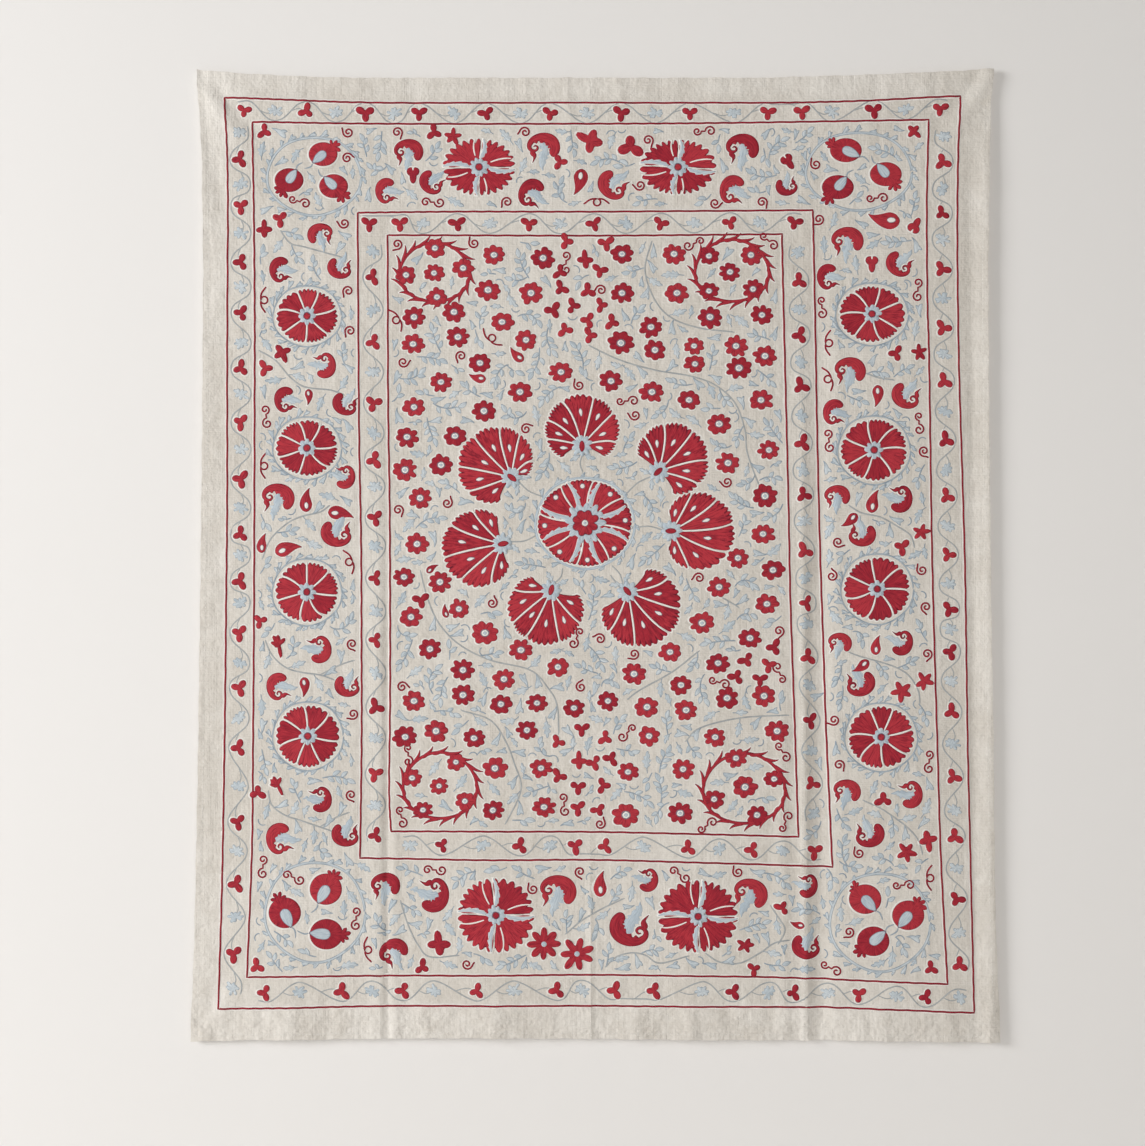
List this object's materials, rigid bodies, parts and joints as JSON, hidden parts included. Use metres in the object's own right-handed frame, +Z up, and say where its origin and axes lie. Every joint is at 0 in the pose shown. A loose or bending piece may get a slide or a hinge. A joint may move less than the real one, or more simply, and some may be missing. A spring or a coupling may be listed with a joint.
{
  "type": "embroidered suzani wall hanging",
  "caption": "Tall embroidered cotton wall hanging with turned hems and soft folds, hanging flat by its top edge.",
  "frame": {"origin": "middle of the top edge, at the back of the cloth", "axes": "+Z up, +X towards the right of someone who looks at the embroidered face, +Y towards the wall"},
  "size_m": [1.622, 0.0143, 1.95],
  "materials": {
    "cotton": "hand-woven natural cotton, matt, slubby plain weave",
    "red_thread": "crimson silk thread laid side by side and couched, soft sheen",
    "blue_thread": "pale blue silk thread laid side by side and couched, soft sheen",
    "grey_thread": "grey-blue chain stitch, matt",
    "pale_thread": "undyed cotton thread in outlines, seams and hems, matt"
  },
  "bodies": {
    "root": {"strip_left": "cotton", "strip_left_middle": "cotton", "strip_right_middle": "cotton", "strip_right": "cotton"}
  },
  "joints": []
}
